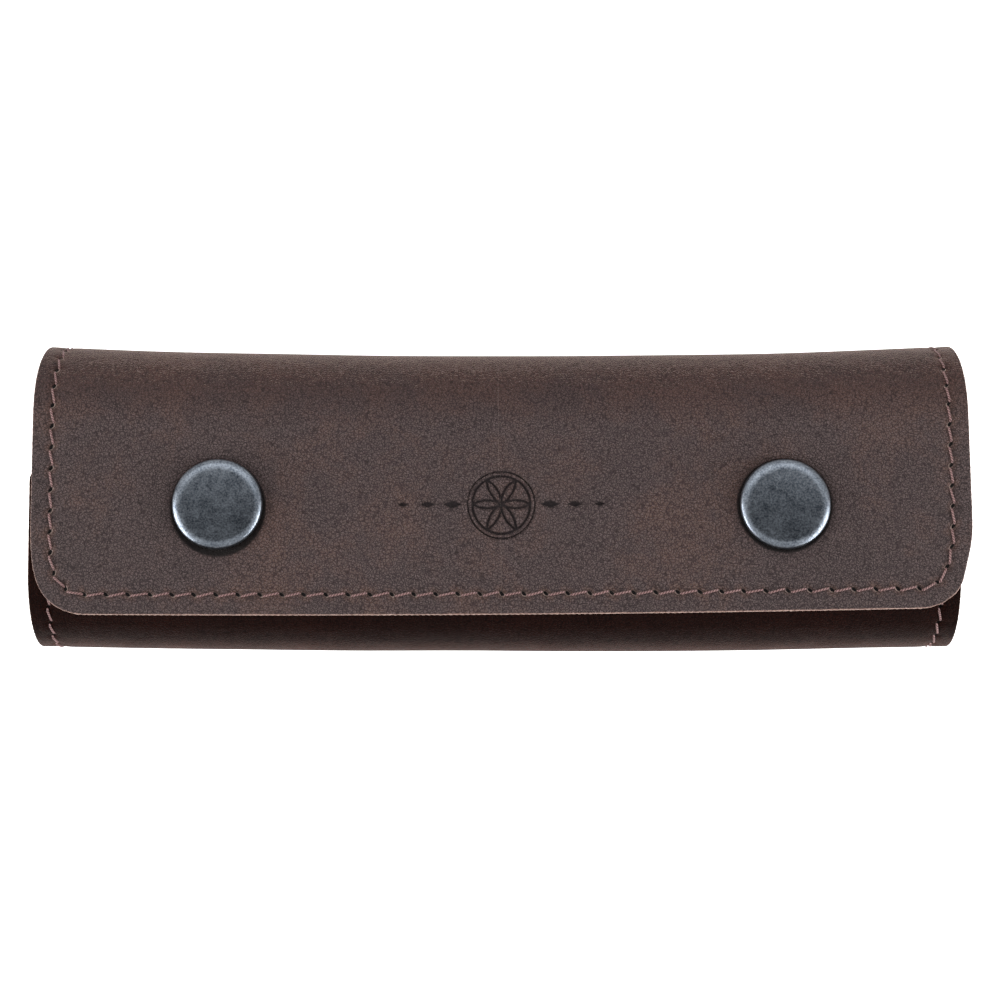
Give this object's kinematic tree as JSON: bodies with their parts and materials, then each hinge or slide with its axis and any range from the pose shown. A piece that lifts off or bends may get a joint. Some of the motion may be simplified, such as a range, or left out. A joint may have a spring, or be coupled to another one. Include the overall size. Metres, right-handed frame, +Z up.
{
  "type": "leather brush roll case",
  "caption": "Rolled leather case with a snapped flap, lined, with sewn loops inside that hold paint brushes along its length.",
  "frame": {"origin": "centre of the closed roll's box, on the surface that it lies on", "axes": "+X along the roll, +Y across it towards the bend that the flap comes over, +Z up through the flap"},
  "size_m": [0.205, 0.067, 0.0408],
  "materials": {
    "cover_leather": "waxed pull-up leather, satin, rubbed on raised places",
    "lining": "matte flesh-side lining",
    "pocket_leather": "thin soft leather, satin",
    "thread": "waxed thread",
    "cap_metal": "antique gunmetal, polished",
    "snap_metal": "gunmetal, satin"
  },
  "bodies": {
    "back": {"cover_back": "cover_leather", "seam_back": "thread", "lining_back": "lining", "pocket_back": "pocket_leather"},
    "top_1": {"cover_top_1": "cover_leather", "seam_top_1": "thread", "lining_top_1": "lining"},
    "top_2": {"cover_top_2": "cover_leather", "seam_top_2": "thread", "lining_top_2": "lining"},
    "top_3": {"cover_top_3": "cover_leather", "seam_top_3": "thread", "lining_top_3": "lining"},
    "top_4": {"cover_top_4": "cover_leather", "seam_top_4": "thread", "lining_top_4": "lining"},
    "top_5": {"cover_top_5": "cover_leather", "seam_top_5": "thread", "lining_top_5": "lining"},
    "flap_root": {"cover_flap_root": "cover_leather", "seam_flap_root": "thread", "lining_flap_root": "lining"},
    "flap": {"cover_flap": "cover_leather", "seam_flap": "thread", "lining_flap": "lining", "snap_caps": "cap_metal", "snap_sockets": "snap_metal", "snap_springs": "snap_metal"},
    "bottom_1": {"cover_bottom_1": "cover_leather", "seam_bottom_1": "thread", "lining_bottom_1": "lining", "pocket_bottom_1": "pocket_leather"},
    "bottom_2": {"cover_bottom_2": "cover_leather", "seam_bottom_2": "thread", "lining_bottom_2": "lining", "pocket_bottom_2": "pocket_leather"},
    "bottom_3": {"cover_bottom_3": "cover_leather", "seam_bottom_3": "thread", "lining_bottom_3": "lining", "pocket_bottom_3": "pocket_leather"},
    "bottom_4": {"cover_bottom_4": "cover_leather", "seam_bottom_4": "thread", "lining_bottom_4": "lining", "pocket_bottom_4": "pocket_leather"},
    "bottom_5": {"cover_bottom_5": "cover_leather", "seam_bottom_5": "thread", "lining_bottom_5": "lining", "pocket_bottom_5": "pocket_leather"},
    "front": {"cover_front": "cover_leather", "seam_front": "thread", "lining_front": "lining", "pocket_front": "pocket_leather", "snap_studs": "snap_metal", "snap_rivets": "snap_metal"}
  },
  "joints": [
    {"name": "unroll", "type": "hinge", "parent": "back", "child": "top_1", "pos_m": [0, 0.016, -0.00035], "axis": [-1, 0, 0], "range_deg": [0, 17.2]},
    {"name": "unroll_top_2", "type": "hinge", "parent": "top_1", "child": "top_2", "pos_m": [0, 0.02608, 0.00277], "axis": [-1, 0, 0], "range_deg": [0, 34.4]},
    {"name": "unroll_top_3", "type": "hinge", "parent": "top_2", "child": "top_3", "pos_m": [0, 0.03264, 0.01104], "axis": [-1, 0, 0], "range_deg": [0, 34.4]},
    {"name": "unroll_top_4", "type": "hinge", "parent": "top_3", "child": "top_4", "pos_m": [0, 0.03338, 0.02158], "axis": [-1, 0, 0], "range_deg": [0, 34.4]},
    {"name": "unroll_top_5", "type": "hinge", "parent": "top_4", "child": "top_5", "pos_m": [0, 0.02804, 0.03068], "axis": [-1, 0, 0], "range_deg": [0, 34.4]},
    {"name": "unroll_flap_root", "type": "hinge", "parent": "top_5", "child": "flap_root", "pos_m": [0, 0.01848, 0.03518], "axis": [-1, 0, 0], "range_deg": [0, 17.2]},
    {"name": "unroll_bottom_1", "type": "hinge", "parent": "back", "child": "bottom_1", "pos_m": [0, -0.017, -0.00035], "axis": [1, 0, 0], "range_deg": [0, 18.4]},
    {"name": "unroll_bottom_2", "type": "hinge", "parent": "bottom_1", "child": "bottom_2", "pos_m": [0, -0.02709, 0.00301], "axis": [1, 0, 0], "range_deg": [0, 36.8]},
    {"name": "unroll_bottom_3", "type": "hinge", "parent": "bottom_2", "child": "bottom_3", "pos_m": [0, -0.03316, 0.01174], "axis": [1, 0, 0], "range_deg": [0, 36.8]},
    {"name": "unroll_bottom_4", "type": "hinge", "parent": "bottom_3", "child": "bottom_4", "pos_m": [0, -0.03279, 0.02237], "axis": [1, 0, 0], "range_deg": [0, 36.8]},
    {"name": "unroll_bottom_5", "type": "hinge", "parent": "bottom_4", "child": "bottom_5", "pos_m": [0, -0.02613, 0.03066], "axis": [1, 0, 0], "range_deg": [0, 36.8]},
    {"name": "unroll_front", "type": "hinge", "parent": "bottom_5", "child": "front", "pos_m": [0, -0.01582, 0.03331], "axis": [1, 0, 0], "range_deg": [0, 18.4]},
    {"name": "flap_lift", "type": "hinge", "parent": "flap_root", "child": "flap", "pos_m": [0, 0.01056, 0.03629], "axis": [1, 0, 0], "range_deg": [-60, 0]}
  ],
  "couplings": [
    {"joint": "unroll_top_2", "follows": "unroll", "ratio": 2},
    {"joint": "unroll_top_3", "follows": "unroll", "ratio": 2},
    {"joint": "unroll_top_4", "follows": "unroll", "ratio": 2},
    {"joint": "unroll_top_5", "follows": "unroll", "ratio": 2},
    {"joint": "unroll_flap_root", "follows": "unroll", "ratio": 1},
    {"joint": "unroll_bottom_1", "follows": "unroll", "ratio": 1.0698},
    {"joint": "unroll_bottom_2", "follows": "unroll", "ratio": 2.1395},
    {"joint": "unroll_bottom_3", "follows": "unroll", "ratio": 2.1395},
    {"joint": "unroll_bottom_4", "follows": "unroll", "ratio": 2.1395},
    {"joint": "unroll_bottom_5", "follows": "unroll", "ratio": 2.1395},
    {"joint": "unroll_front", "follows": "unroll", "ratio": 1.0698}
  ]
}
